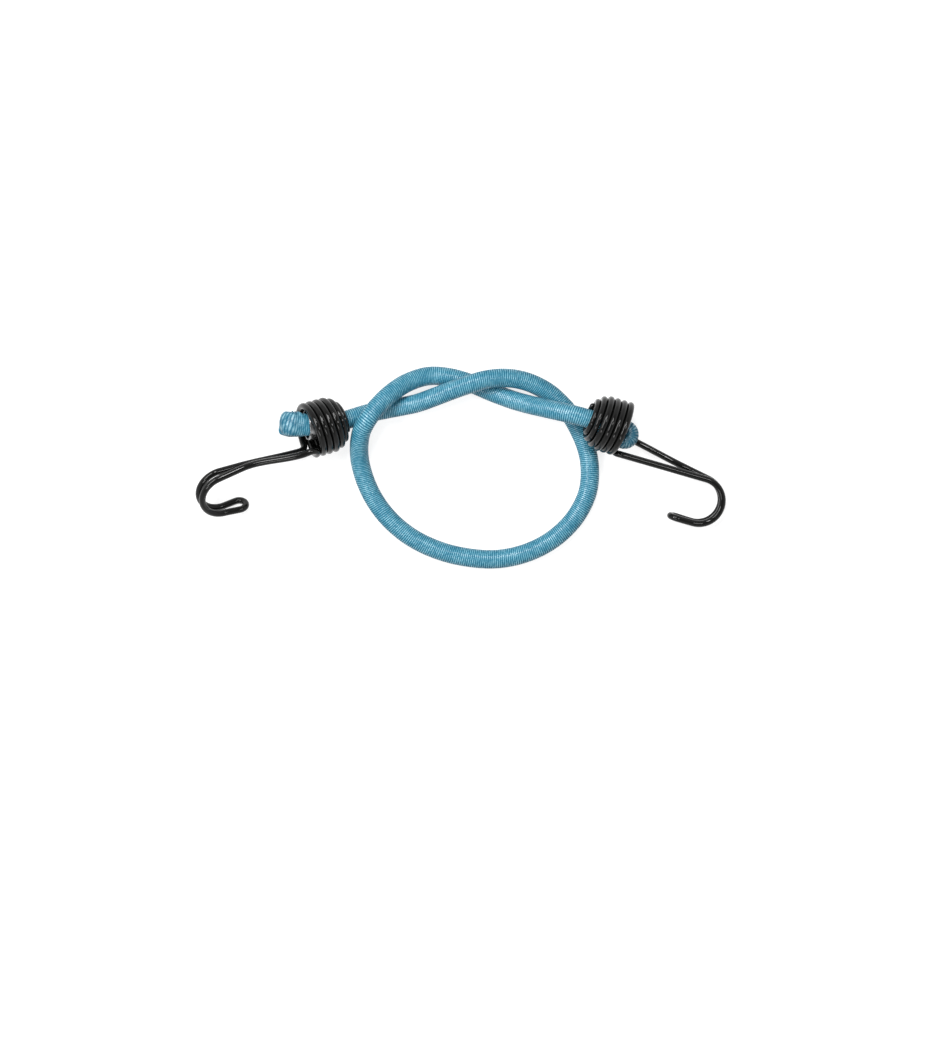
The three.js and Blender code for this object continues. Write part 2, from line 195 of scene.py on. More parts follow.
# Floor and surround: how brightly they are seen, and how much light the surround gives
FLOOR_SIZE = 8
FLOOR_DROP = 0.0001
FLOOR_TONE = 0.4
FLOOR_SEEN = 0.82
SURROUND_SEEN = 0.82
SURROUND_LIGHT = 0.11

# Lights, which all point at the origin: place, size and power in watts
LIGHTS = {
    "key": ((-0.64, 0.28, 1.05), (0.9, 0.24), 11.0),
    "far_side": ((-0.05, 0.6, 1.15), (0.16, 0.36), 5.4),
    "front_fill": ((-0.35, -0.6, 0.95), (0.5, 0.2), 2.3),
    "right_fill": ((0.52, 0.08, 1.2), (0.15, 0.35), 2.6),
}

# Braid colours: painted shade in the grooves up to painted highlight on the lit yarns, and the pale of yarns
# spread over a fold
BRAID_SHADE_TO_HIGHLIGHT = [
    (0.0, (0.017, 0.128, 0.212)),
    (0.25, (0.031, 0.190, 0.292)),
    (0.6, (0.066, 0.300, 0.430)),
    (1.0, (0.190, 0.510, 0.640)),
]
BRAID_PALE = (0.46, 0.66, 0.71)

# Two numbers that shift the yarns unevenly from row to row, and the lean and softness of one yarn
ROW_SCATTER = 12.9898
ROW_SPREAD = 43.758
YARN_LEAN = 0.3
YARN_SOFTNESS = 0.45
YARN_LEAST = 0.38

# Shares of the fibre grain and of the painted crest highlight in the tone, and how the tone changes over a
# fold
FIBRE_SHARE = 0.3
CREST_HIGHLIGHT_SHARE = 0.2
FOLD_SHARE = 0.8
FOLD_CONTRAST = 0.8
FOLD_GROUND = 0.04
FOLD_PALE = 0.44

UP = np.array([0.0, 0.0, 1.0])
cord_radius = CORD_DIAMETER / 2
wire_radius = WIRE_DIAMETER / 2
squeezed_thin = cord_radius * SQUEEZE_THIN
squeezed_wide = cord_radius * SQUEEZE_WIDE
crimp_offset = squeezed_thin + FOLD_GAP / 2

# Radius of the round hole that just takes the two squeezed strands of the fold
quarter = np.linspace(0, math.pi / 2, BUNDLE_STEPS)
thin_reach = crimp_offset + squeezed_thin * np.cos(quarter)
bundle_radius = float(np.hypot(thin_reach, squeezed_wide * np.sin(quarter)).max())
crimp_inner = bundle_radius + CRIMP_CLEARANCE
crimp_outer = crimp_inner + CRIMP_WALL
mouth_radius = crimp_outer + MOUTH_CLEARANCE + wire_radius
entry_radius = cord_radius + ENTRY_CLEARANCE + wire_radius
turn_pitch = WIRE_DIAMETER + TURN_GAP
shoulder_angle = math.radians(SHOULDER_DEG)
shoulder_radius = (mouth_radius - entry_radius) / (1 - math.cos(shoulder_angle))
barrel_length = BARREL_STRAIGHT + shoulder_radius * math.sin(shoulder_angle)
profile_length = BARREL_STRAIGHT + shoulder_radius * shoulder_angle

# The frame puts the left swivel at the left barrel's mouth, which gives the shift from the route's own axes
joints = {joint["name"]: joint for joint in frame["joints"]}
row_shift = np.array(joints["left_swivel"]["pos_m"]) - np.array(LEFT_END["mouth"])


def unit(vector):
    return vector / np.linalg.norm(vector)


def smooth(value):
    t = np.clip(value, 0, 1)
    return t * t * (3 - 2 * t)


def mix(a, b, share):
    return a + (b - a) * share


def tangents_of(points):
    ends = np.vstack([points[1:], points[-1:]])
    starts = np.vstack([points[:1], points[:-1]])
    steps = ends - starts
    return steps / np.linalg.norm(steps, axis=1)[:, None]


def distances_along(points):
    steps = np.linalg.norm(np.diff(points, axis=0), axis=1)
    return np.concatenate([[0.0], np.cumsum(steps)])


# Smooth curve through the given points, with its place between them at each of many steps
def curve_through(points, steps_each=CURVE_STEPS):
    points = np.asarray(points, float)
    first = 2 * points[0] - points[1]
    last = 2 * points[-1] - points[-2]
    chain = np.vstack([first, points, last])
    made = []
    places = []
    for i in range(len(points) - 1):
        p0, p1, p2, p3 = chain[i : i + 4]
        k0 = max(np.linalg.norm(p1 - p0) ** 0.5, 1e-6)
        k1 = max(np.linalg.norm(p2 - p1) ** 0.5, 1e-6)
        k2 = max(np.linalg.norm(p3 - p2) ** 0.5, 1e-6)
        m1 = ((p1 - p0) / k0 - (p2 - p0) / (k0 + k1) + (p2 - p1) / k1) * k1
        m2 = ((p2 - p1) / k1 - (p3 - p1) / (k1 + k2) + (p3 - p2) / k2) * k1
        final = i == len(points) - 2
        t = np.linspace(0, 1, steps_each + 1)[: None if final else -1, None]
        t2 = t * t
        t3 = t2 * t
        stretch = (2 * t3 - 3 * t2 + 1) * p1 + (3 * t2 - 2 * t3) * p2
        made.append(stretch + (t3 - 2 * t2 + t) * m1 + (t3 - t2) * m2)
        places.append(i + t[:, 0])
    return np.vstack(made), np.concatenate(places)


# Axes through one barrel: outward, level across, and square to both pointing upward
def axes_at(end, turn_deg):
    turn = math.radians(turn_deg)
    rise = math.radians(end["rise_deg"])
    level = np.array([end["side"] * math.cos(turn), -math.sin(turn), 0.0])
    outward = level * math.cos(rise) + UP * math.sin(rise)
    across = unit(np.cross(UP, level))
    upright = unit(np.cross(outward, across))
    mouth = np.array(end["mouth"]) + row_shift
    return mouth, outward, across, upright


# Axes of the folded cord end, which leans sideways in the barrel from the middle of its narrow end
def fold_axes(end):
    barrel_mouth, barrel_outward, _, _ = axes_at(end, end["turn_deg"])
    _, outward, across, upright = axes_at(end, end["fold_turn_deg"])
    mouth = barrel_mouth - barrel_outward * barrel_length + outward * barrel_length
    return mouth, outward, across, upright


# Cord inside one barrel from the entry to the cut end: points, two squeezes of the section, share of bulge
def folded_end(end):
    mouth, outward, across, upright = fold_axes(end)
    sideways = upright if end["fold_upright"] else across
    far = across * end["side"]
    fold_radius = cord_radius * end["bulge_thin"] + FOLD_GAP / 2

    def at(along, offset, thin, wide, bulge=0):
        swing = end["fold_swing"] * (max(along + CRIMP_INSET, 0) / SWING_LENGTH) ** 2
        point = mouth + outward * along + sideways * offset + far * swing
        return (point, wide, thin, bulge) if end["fold_upright"] else (point, thin, wide, bulge)

    crimp_back = -CRIMP_INSET - CRIMP_WIDTH
    shift_from = ENTRY_STRAIGHT - barrel_length
    shift_to = crimp_back - END_TAIL - CRIMP_LEAD
    samples = [at(-barrel_length, 0, 1, 1), at(shift_from, 0, 1, 1)]
    for share in SHIFT_SHARES:
        along = mix(shift_from, shift_to, share)
        thin = mix(1, SQUEEZE_THIN, smooth(share))
        wide = mix(1, SQUEEZE_WIDE, smooth(share))
        samples.append(at(along, -crimp_offset * smooth(share), thin, wide))
    samples.append(at(-CRIMP_INSET, -crimp_offset, SQUEEZE_THIN, SQUEEZE_WIDE))
    for angle in np.linspace(-math.pi / 2, math.pi / 2, FOLD_STEPS):
        along = end["fold_centre"] + fold_radius * math.cos(angle)
        samples.append(at(along, fold_radius * math.sin(angle), end["bulge_thin"], end["bulge_wide"], 1))
    samples.append(at(-CRIMP_INSET, crimp_offset, SQUEEZE_THIN, SQUEEZE_WIDE))
    samples.append(at(crimp_back - END_TAIL, crimp_offset, SQUEEZE_THIN, SQUEEZE_WIDE))
    return samples


# Whole centre line of the cord, evenly spaced, with the place on the route and the section at each step
def cord_line(step):
    left = folded_end(LEFT_END)[::-1]
    right = folded_end(RIGHT_END)
    samples = left + [(point, 1, 1, 0) for point in route_points()] + right
    points, places = curve_through([sample[0] for sample in samples])
    along = distances_along(points)
    count = int(round(along[-1] / step))
    even = np.linspace(0, along[-1], count + 1)
    line = np.column_stack([np.interp(even, along, points[:, axis]) for axis in range(3)])
    place = np.interp(even, along, places)
    numbers = np.arange(len(samples))
    section = [np.interp(place, numbers, [sample[i] for sample in samples]) for i in (1, 2, 3)]
    return line, even, place - len(left), np.column_stack(section)


def route_points():
    lift = CORD_DIAMETER + CROSSING_GAP
    base = row_shift * [1, 1, 0] + UP * (cord_radius - FLOOR_FLAT)
    return [base + [x, y, share * lift] for x, y, share in ROUTE]


# Square frame at every step: one axis level across the cord, the other upward, carried through a fold
def cord_frames(line):
    tangents = tangents_of(line)
    across = np.zeros_like(line)
    previous = None
    for i, tangent in enumerate(tangents):
        level = np.cross(UP, tangent)
        if previous is not None and np.linalg.norm(level) < LEVEL_LEAST:
            level = previous - tangent * previous.dot(tangent)
        level = unit(level)
        if previous is not None and level.dot(previous) < 0:
            level = -level
        across[i] = level
        previous = level
    return across, np.cross(tangents, across)


# Smooth mesh, with the coordinates of the braid and the share of stretch where they are given
def add_mesh(name, vertices, faces, loop_uvs=None, stretch=None):
    mesh = bpy.data.meshes.new(name)
    mesh.from_pydata([tuple(v) for v in vertices], [], faces)
    if loop_uvs is not None:
        layer = mesh.uv_layers.new(name="braid")
        layer.data.foreach_set("uv", np.asarray(loop_uvs, np.float32).ravel())
    if stretch is not None:
        spread = mesh.attributes.new("stretch", "FLOAT", "POINT")
        spread.data.foreach_set("value", np.asarray(stretch, np.float32))
    mesh.polygons.foreach_set("use_smooth", [True] * len(mesh.polygons))
    mesh.set_sharp_from_angle(angle=math.radians(SHARP_EDGE_DEG))
    mesh.validate()
    mesh.update()
    piece = bpy.data.objects.new(name, mesh)
    bpy.context.scene.collection.objects.link(piece)
    return piece


# Faces of one skin of rings, which closes round and is open at its two ends
def skin_faces(start, count, sides, outward):
    faces = []
    for i in range(count - 1):
        for k in range(sides):
            following = (k + 1) % sides
            a = start + i * sides + k
            b = start + i * sides + following
            quad = (a, b, b + sides, a + sides)
            faces.append(quad if outward else quad[::-1])
    return faces


# Piece of the sleeve between two steps of the cord: ribbed skin outside, plain bore inside, rim at each end
def build_sleeve(name, line, along, across, raised, section):
    sides = CORD_SIDES
    around = np.arange(sides) / sides
    angle = 2 * math.pi * (around + 0.5 / sides) - math.pi / 2
    ribs = along[:, None] / RIB_PITCH + RIB_STARTS * around[None, :]
    crest = np.abs(np.sin(math.pi * ribs)) ** RIB_SHAPE
    radius = cord_radius - RIB_HEIGHT * (1 - crest) * (1 - RIB_FADE_ON_FOLD * section[:, 2:])
    radius = radius * fullness(line, across, raised, section[:, 2], angle)
    outer = place_rings(line, across, raised, section, radius, angle)
    picks = np.unique(np.append(np.arange(0, len(line), BORE_EVERY), len(line) - 1))
    bore_radius = np.full((len(picks), sides), cord_radius - SLEEVE_WALL)
    bore = place_rings(line[picks], across[picks], raised[picks], section[picks], bore_radius, angle)
    vertices = np.vstack([outer.reshape(-1, 3), bore.reshape(-1, 3)])
    bore_start = len(line) * sides
    faces = skin_faces(0, len(line), sides, True)
    uvs = skin_uvs(along, sides)
    faces += skin_faces(bore_start, len(picks), sides, False)
    uvs += [pair[::-1] for pair in skin_uvs(along[picks], sides)]
    last_outer = (len(line) - 1) * sides
    last_bore = bore_start + (len(picks) - 1) * sides
    for k in range(sides):
        following = (k + 1) % sides
        faces.append((bore_start + k, bore_start + following, following, k))
        faces.append((last_outer + k, last_outer + following, last_bore + following, last_bore + k))
        for rim_along in (along[0], along[-1]):
            u0, u1, v = k / sides, (k + 1) / sides, rim_along / RIB_PITCH
            uvs.append([(u0, v), (u1, v), (u1, v), (u0, v)])
    stretch = np.repeat(np.concatenate([section[:, 2], section[picks, 2]]), sides)
    return add_mesh(name, vertices, faces, [corner for quad in uvs for corner in quad], stretch)


# Swelling of the section on the inner side of a fold, where the two strands press flat against each other
def fullness(line, across, raised, bulge, angle):
    turning = np.gradient(tangents_of(line), axis=0)
    inward = turning / np.maximum(np.linalg.norm(turning, axis=1), 1e-9)[:, None]
    inward_across = (inward * across).sum(1)[:, None]
    inward_raised = (inward * raised).sum(1)[:, None]
    inner = np.clip(inward_across * np.cos(angle) + inward_raised * np.sin(angle), 0, 1)
    beside = np.sqrt(1 - inner**2)
    boxed = (inner**BULGE_FULLNESS + beside**BULGE_FULLNESS) ** (-1 / BULGE_FULLNESS)
    return 1 + (boxed - 1) * bulge[:, None]


# Coordinates of the braid on each face of a skin: share of the way round, and ribs along
def skin_uvs(along, sides):
    ribs = along / RIB_PITCH
    uvs = []
    for i in range(len(along) - 1):
        for k in range(sides):
            u0 = k / sides
            u1 = (k + 1) / sides
            uvs.append([(u0, ribs[i]), (u1, ribs[i]), (u1, ribs[i + 1]), (u0, ribs[i + 1])])
    return uvs


# Rings of points round a line, squeezed to the section and kept above the floor
def place_rings(line, across, raised, section, radius, angle, offset=(0, 0)):
    sideways = (offset[0] + radius * np.cos(angle)) * section[:, :1]
    upward = (offset[1] + radius * np.sin(angle)) * section[:, 1:2]
    rings = line[:, None] + across[:, None] * sideways[..., None] + raised[:, None] * upward[..., None]
    rings[..., 2] = np.maximum(rings[..., 2], 0)
    return rings


# Closed skin over rings, with a flat cap at each end
def capped_tube(rings):
    count, sides = rings.shape[:2]
    faces = skin_faces(0, count, sides, True)
    faces.append(tuple(range(sides - 1, -1, -1)))
    faces.append(tuple((count - 1) * sides + k for k in range(sides)))
    return rings.reshape(-1, 3), faces


# Bundle of rubber strands inside one piece of the sleeve
def build_core(name, line, across, raised, section):
    room = cord_radius - SLEEVE_WALL - STRAND_GAP
    strand_radius = (room - STRAND_GAP) / 3
    ring_radius = 2 * strand_radius + STRAND_GAP
    angle = 2 * math.pi * np.arange(STRAND_SIDES) / STRAND_SIDES
    radius = np.full((len(line), STRAND_SIDES), strand_radius)
    vertices = []
    faces = []
    for strand in range(STRAND_COUNT):
        turn = 2 * math.pi * strand / (STRAND_COUNT - 1)
        offset = (0, 0) if strand == 0 else (ring_radius * math.cos(turn), ring_radius * math.sin(turn))
        rings = place_rings(line, across, raised, section, radius, angle, offset)
        points, tube = capped_tube(rings)
        start = len(vertices)
        vertices.extend(points)
        faces.extend(tuple(start + corner for corner in face) for face in tube)
    return add_mesh(name, vertices, faces)


# Point on the barrel at a distance along its profile from the mouth and an angle from the hook side
def barrel_point(along, angle):
    bend = max(along - BARREL_STRAIGHT, 0) / shoulder_radius
    x = -along if along < BARREL_STRAIGHT else -BARREL_STRAIGHT - shoulder_radius * math.sin(bend)
    radius = mouth_radius - shoulder_radius * (1 - math.cos(bend))
    return np.array([x, radius * math.sin(angle), -radius * math.cos(angle)])


# One wire of the pair, from its cut end in the narrow end of the barrel out to the top of the bend
def barrel_wire(leg_angle, first_along, side):
    points = []
    start_angle = leg_angle + ELBOW_RADIUS / mouth_radius
    slope = 2 * turn_pitch / (2 * math.pi)
    turns = (profile_length - first_along) / (2 * turn_pitch)
    steps = round(turns * STEPS_PER_TURN)
    for step in range(steps, 0, -1):
        swept = turns * 2 * math.pi * step / steps
        points.append(barrel_point(first_along + slope * swept, start_angle + swept))
    for step in range(ELBOW_STEPS, -1, -1):
        angle = math.pi / 2 * step / ELBOW_STEPS
        along = first_along - ELBOW_RADIUS * (1 - math.sin(angle))
        points.append(barrel_point(along, leg_angle + ELBOW_RADIUS * (1 - math.cos(angle)) / mouth_radius))
    leg_start = points[-1]
    bend_x = HOOK_REACH - wire_radius - BEND_RADIUS
    bend_z = -SHANK_OFFSET - BEND_RADIUS
    run = bend_x - leg_start[0]
    drop = leg_start[2] - bend_z
    lean = math.atan2(drop, run) - math.asin(BEND_RADIUS / math.hypot(run, drop))
    bend_start_x = bend_x + BEND_RADIUS * math.sin(lean)
    bend_start_z = bend_z + BEND_RADIUS * math.cos(lean)
    for share in np.linspace(*LEG_SHARES, LEG_STEPS):
        x = mix(leg_start[0], bend_start_x, share)
        z = mix(leg_start[2], bend_start_z, share)
        closed = smooth((x - leg_start[0]) / (SHANK_STRAIGHT_FROM - leg_start[0]))
        points.append(np.array([x, mix(leg_start[1], side * SHANK_HALF_SPACING, closed), z]))
    for angle in np.linspace(lean, math.pi, BEND_STEPS):
        x = bend_x + BEND_RADIUS * math.sin(angle)
        z = bend_z + BEND_RADIUS * math.cos(angle)
        points.append(np.array([x, side * SHANK_HALF_SPACING, z]))
    return points


# Centre line of the whole hook wire: out along one wire, round the hairpin tip and back along the other
def hook_line(end):
    leg_angle = math.radians(LEG_ANGLE_DEG)
    twist = math.radians(end["leg_twist_deg"])
    first = barrel_wire(twist + leg_angle, 0, 1)
    second = barrel_wire(twist - leg_angle, turn_pitch * (1 - 2 * leg_angle / math.pi), -1)
    tip_centre = HOOK_REACH - HOOK_RETURN + wire_radius + TIP_HALF_SPACING
    tip_height = -SHANK_OFFSET - 2 * BEND_RADIUS
    tip = []
    for angle in np.linspace(0, math.pi, TIP_STEPS):
        x = tip_centre - TIP_HALF_SPACING * math.sin(angle)
        tip.append(np.array([x, TIP_HALF_SPACING * math.cos(angle), tip_height]))
    return np.array(first + tip + second[::-1])


# Matrix that carries the hook's own axes to its place, rolled about the barrel's axis
def hook_matrix(end, roll_deg):
    mouth, outward, across, upright = axes_at(end, end["turn_deg"])
    near = across * -end["side"]
    roll = math.radians(roll_deg)
    hook_side = near * math.cos(roll) - upright * math.sin(roll)
    front = near * math.sin(roll) + upright * math.cos(roll)
    return np.column_stack([outward, -front, -hook_side]), mouth


# Roll at which the tip of the hook comes to rest on the floor
def resting_roll(end, points):
    far = points[points[:, 0] > SHANK_STRAIGHT_FROM]
    low = 0.0
    high = ROLL_MOST_DEG
    for _ in range(ROLL_HALVINGS):
        roll = (low + high) / 2
        turn, mouth = hook_matrix(end, roll)
        lowest = (far @ turn.T + mouth)[:, 2].min()
        if lowest > wire_radius - WIRE_FLAT:
            low = roll
        else:
            high = roll
    return low


# Round wire along a line, with its cut ends slightly rounded and its underside flat on the floor
def build_hook(name, end):
    points = hook_line(end)
    turn, mouth = hook_matrix(end, resting_roll(end, points))
    fine, _ = curve_through(points @ turn.T + mouth, WIRE_CURVE_STEPS)
    along = distances_along(fine)
    even = np.linspace(0, along[-1], int(along[-1] / WIRE_STEP) + 1)
    line = np.column_stack([np.interp(even, along, fine[:, axis]) for axis in range(3)])
    tangents = tangents_of(line)
    across = np.zeros_like(line)
    across[0] = unit(np.cross(UP, tangents[0]))
    for i in range(1, len(line)):
        carried = across[i - 1] - tangents[i] * across[i - 1].dot(tangents[i])
        across[i] = unit(carried)
    raised = np.cross(tangents, across)
    from_end = np.minimum(even, even[-1] - even)
    inset = np.clip(1 - from_end / WIRE_END_ROUND, 0, 1)
    radius = mix(wire_radius, WIRE_SEEN / 2, smooth((from_end - NARROW_TURNS) / NARROW_TURNS))
    radius = radius - WIRE_END_ROUND * (1 - np.sqrt(1 - inset**2))
    angle = 2 * math.pi * np.arange(WIRE_SIDES) / WIRE_SIDES
    plain = np.ones((len(line), 2))
    rings = place_rings(line, across, raised, plain, np.repeat(radius[:, None], WIRE_SIDES, 1), angle)
    vertices, faces = capped_tube(rings)
    return add_mesh(name, vertices, faces)


# Split band with rounded edges that holds the two strands of the folded end
def build_crimp(name, end):
    mouth, outward, across, upright = fold_axes(end)
    slit_side = across if end["fold_upright"] else upright
    third = np.cross(outward, slit_side)
    half = math.radians(CRIMP_SLIT_DEG / 2)
    profile = []
    for along_sign, wall_sign, turned in CRIMP_CORNERS:
        for degrees in CRIMP_CORNER_DEGS:
            angle = math.radians(turned + degrees)
            along = along_sign * (CRIMP_WIDTH / 2 - CRIMP_EDGE) + CRIMP_EDGE * math.cos(angle)
            wall = wall_sign * (CRIMP_WALL / 2 - CRIMP_EDGE) + CRIMP_EDGE * math.sin(angle)
            profile.append((along, wall))
    middle = -CRIMP_INSET - CRIMP_WIDTH / 2
    mean_radius = (crimp_inner + crimp_outer) / 2
    rings = []
    for angle in np.linspace(half, 2 * math.pi - half, CRIMP_STEPS):
        radial = slit_side * math.cos(angle) + third * math.sin(angle)
        ring = []
        for along, wall in profile:
            ring.append(mouth + outward * (middle + along) + radial * (mean_radius + wall))
        rings.append(ring)
    vertices, faces = capped_tube(np.array(rings))
    return add_mesh(name, vertices, faces)


# Cord pieces
line, along, place, section = cord_line(RIB_PITCH / STEPS_PER_RIB)
across, raised = cord_frames(line)
loop_start = int(np.searchsorted(place, LOOP_STARTS_AT))
loop_end = int(np.searchsorted(place, LOOP_ENDS_AT))
spans = {
    "left": slice(0, loop_start + 1),
    "loop": slice(loop_start, loop_end + 1),
    "right": slice(loop_end, len(line)),
}
core_every = max(1, round(STRAND_STEP / (RIB_PITCH / STEPS_PER_RIB)))
sleeves = {}
cores = {}
for side, span in spans.items():
    steps = np.arange(len(line))[span]
    sleeves[side] = build_sleeve(
        f"sleeve_{side}", line[span], along[span], across[span], raised[span], section[span]
    )
    picks = np.unique(np.append(steps[::core_every], steps[-1]))
    cores[side] = build_core(f"core_{side}", line[picks], across[picks], raised[picks], section[picks])

hooks = {"left": build_hook("hook_left", LEFT_END), "right": build_hook("hook_right", RIGHT_END)}
crimps = {"left": build_crimp("crimp_left", LEFT_END), "right": build_crimp("crimp_right", RIGHT_END)}


# Materials: helpers that add the nodes of one shader tree and join them up
class Shading:
    def __init__(self, tree):
        self.nodes = tree.nodes
        self.links = tree.links

    # Joins a socket to an output, or sets it to a number or a colour
    def feed(self, socket, value):
        if isinstance(value, (int, float)):
            socket.default_value = value
        elif isinstance(value, tuple):
            socket.default_value = (*value, 1)
        else:
            self.links.new(value, socket)

    def maths(self, operation, *values):
        node = self.nodes.new("ShaderNodeMath")
        node.operation = operation
        for socket, value in zip(node.inputs, values):
            self.feed(socket, value)
        return node.outputs[0]

    def times(self, first, second):
        return self.maths("MULTIPLY", first, second)

    def times_plus(self, first, second, third):
        return self.maths("MULTIPLY_ADD", first, second, third)

    # Rises from 0 to 1 and falls back to 0 as the share goes from 0 to 1
    def arch(self, share):
        return self.maths("SINE", self.times(share, math.pi))

    def ramp(self, factor, stops):
        node = self.nodes.new("ShaderNodeValToRGB")
        elements = node.color_ramp.elements
        while len(elements) < len(stops):
            elements.new(0.5)
        for element, (position, colour) in zip(elements, stops):
            element.position = position
            element.color = (*colour, 1)
        self.links.new(factor, node.inputs["Fac"])
        return node.outputs["Color"]

    def noise(self, scale, detail, roughness=0.55):
        place_node = self.nodes.new("ShaderNodeTexCoord")
        node = self.nodes.new("ShaderNodeTexNoise")
        node.inputs["Scale"].default_value = scale
        node.inputs["Detail"].default_value = detail
        node.inputs["Roughness"].default_value = roughness
        self.links.new(place_node.outputs["Object"], node.inputs["Vector"])
        return node.outputs["Fac"]

    def mixed(self, factor, first, second):
        node = self.nodes.new("ShaderNodeMix")
        node.data_type = "RGBA"
        self.links.new(factor, node.inputs["Factor"])
        self.feed(node.inputs["A"], first)
        self.feed(node.inputs["B"], second)
        return node.outputs["Result"]

    def bump(self, height, strength, distance):
        node = self.nodes.new("ShaderNodeBump")
        node.inputs["Strength"].default_value = strength
        node.inputs["Distance"].default_value = distance
        self.links.new(height, node.inputs["Height"])
        return node.outputs["Normal"]

    # Share of rays that see the white ground and surround: those of the camera, of gloss and of clear things
    def background_seen(self):
        rays = self.nodes.new("ShaderNodeLightPath").outputs
        mirrored = self.maths("MAXIMUM", rays["Is Camera Ray"], rays["Is Glossy Ray"])
        return self.maths("MAXIMUM", mirrored, rays["Is Transmission Ray"])


def grey(tone):
    return (tone, tone, tone)


def new_material(name, inputs):
    material = bpy.data.materials.new(name)
    material.use_nodes = True
    shader = material.node_tree.nodes["Principled BSDF"]
    net = Shading(material.node_tree)
    for socket, value in inputs.items():
        net.feed(shader.inputs[socket], value)
    return material, net, shader.inputs


# Braided polyester: painted highlights on the yarns show as light strokes across the cord, broken at odd
# places from row to row.
# Where the sleeve is stretched over a folded end, the strokes spread into broad pale patches.
def sleeve_material():
    even = {
        "Coat Roughness": 0.34,
        "Coat IOR": 2.0,
        "Specular IOR Level": 0.08,
        "Sheen Weight": 0.05,
        "Sheen Roughness": 0.45,
        "Sheen Tint": (0.45, 0.75, 0.9),
    }
    material, net, surface = new_material("braided_polyester_blue", even)
    uv = net.nodes.new("ShaderNodeUVMap")
    uv.uv_map = "braid"
    split = net.nodes.new("ShaderNodeSeparateXYZ")
    net.links.new(uv.outputs["UV"], split.inputs[0])
    round_share = split.outputs["X"]
    spread = net.nodes.new("ShaderNodeAttribute")
    spread.attribute_name = "stretch"
    stretch = spread.outputs["Fac"]

    # Strokes: one row for each rib, cut into yarns that start at a different place in each row
    ribs = net.times_plus(round_share, RIB_STARTS, split.outputs["Y"])
    phase = net.maths("FRACT", ribs)
    crest = net.arch(phase)
    row = net.maths("FLOOR", ribs)
    scatter = net.maths("SINE", net.times(row, ROW_SCATTER))
    stagger = net.maths("FRACT", net.times(scatter, ROW_SPREAD))
    yarns = net.times_plus(round_share, YARNS_ROUND, stagger)
    dash = net.arch(net.maths("FRACT", net.times_plus(phase, YARN_LEAN, yarns)))
    yarn = net.times_plus(net.maths("POWER", dash, YARN_SOFTNESS), 1 - YARN_LEAST, YARN_LEAST)
    stroke = net.times(net.maths("POWER", crest, 2), yarn)

    # Glossy and dull patches along the cord, and the grain of the fibres
    fibre = net.noise(scale=3000, detail=2)
    gloss = net.ramp(net.noise(scale=160, detail=3), [(0.34, grey(0.55)), (0.66, grey(1))])
    # Painted highlights: the yarn strokes, brighter in the glossy patches, and the rib crests are painted
    # lighter, leaving painted shade in the grooves
    gloss_and_painted_shine = net.times(stroke, gloss)
    grain_and_painted_glint = net.times_plus(net.maths("SUBTRACT", fibre, 0.5), FIBRE_SHARE, gloss_and_painted_shine)
    grain_and_painted_glint = net.times_plus(crest, CREST_HIGHLIGHT_SHARE, grain_and_painted_glint)

    # Patches where the yarns part over a fold
    uneven = net.ramp(net.noise(scale=380, detail=2), [(0.42, grey(0.1)), (0.6, grey(1))])
    parted = net.times(net.times(dash, crest), uneven)
    pale = net.times(net.times(parted, stretch), FOLD_PALE)
    patches = net.times_plus(parted, FOLD_CONTRAST, FOLD_GROUND)
    grain_and_painted_glint = net.mixed(net.times(stretch, FOLD_SHARE), grain_and_painted_glint, patches)

    # Colour from painted shade in the rib grooves up to painted highlights on the yarn strokes, paled where
    # the sleeve is stretched over a fold
    net.feed(surface["Base Color"], net.mixed(pale, net.ramp(grain_and_painted_glint, BRAID_SHADE_TO_HIGHLIGHT), BRAID_PALE))
    net.feed(surface["Roughness"], net.times_plus(stroke, -0.22, 0.66))
    net.feed(surface["Coat Weight"], gloss_and_painted_shine)
    height = net.times_plus(fibre, 0.3, stroke)
    net.feed(surface["Normal"], net.bump(height, strength=0.5, distance=0.0001))
    return material


# Cream rubber with a fine grain
def rubber_material():
    material, net, surface = new_material("natural_rubber_cream", {"Roughness": 0.6})
    grain = net.noise(scale=900, detail=5)
    net.feed(surface["Base Color"], net.ramp(grain, [(0.3, (0.52, 0.45, 0.30)), (0.7, (0.74, 0.68, 0.52))]))
    net.feed(surface["Normal"], net.bump(grain, strength=0.3, distance=0.0001))
    return material


# Black coat on steel wire: glossy, with a faint unevenness and a few worn flecks
def wire_material():
    material, net, surface = new_material("black_coated_wire", {"Specular IOR Level": 0.29})
    wave = net.noise(scale=260, detail=3)
    fleck = net.noise(scale=1500, detail=6, roughness=0.7)
    worn = net.ramp(fleck, [(0.7, grey(0)), (0.82, grey(1))])
    net.feed(surface["Base Color"], net.mixed(worn, (0.004, 0.004, 0.0038), (0.022, 0.021, 0.02)))
    net.feed(surface["Roughness"], net.times_plus(wave, 0.06, 0.05))
    net.feed(surface["Normal"], net.bump(wave, strength=0.05, distance=0.0002))
    return material


# Zinc on the crimp strip, in dark, uneven metal tones with a fine grain
def crimp_material():
    material, net, surface = new_material("zinc_plated_strip", {"Metallic": 1.0})
    grain = net.noise(scale=1800, detail=5, roughness=0.65)
    tone = net.noise(scale=240, detail=3)
    net.feed(surface["Base Color"], net.ramp(tone, [(0.3, (0.24, 0.245, 0.25)), (0.7, (0.42, 0.425, 0.43))]))
    net.feed(surface["Roughness"], net.times_plus(grain, 0.25, 0.14))
    net.feed(surface["Normal"], net.bump(grain, strength=0.15, distance=0.0001))
    return material


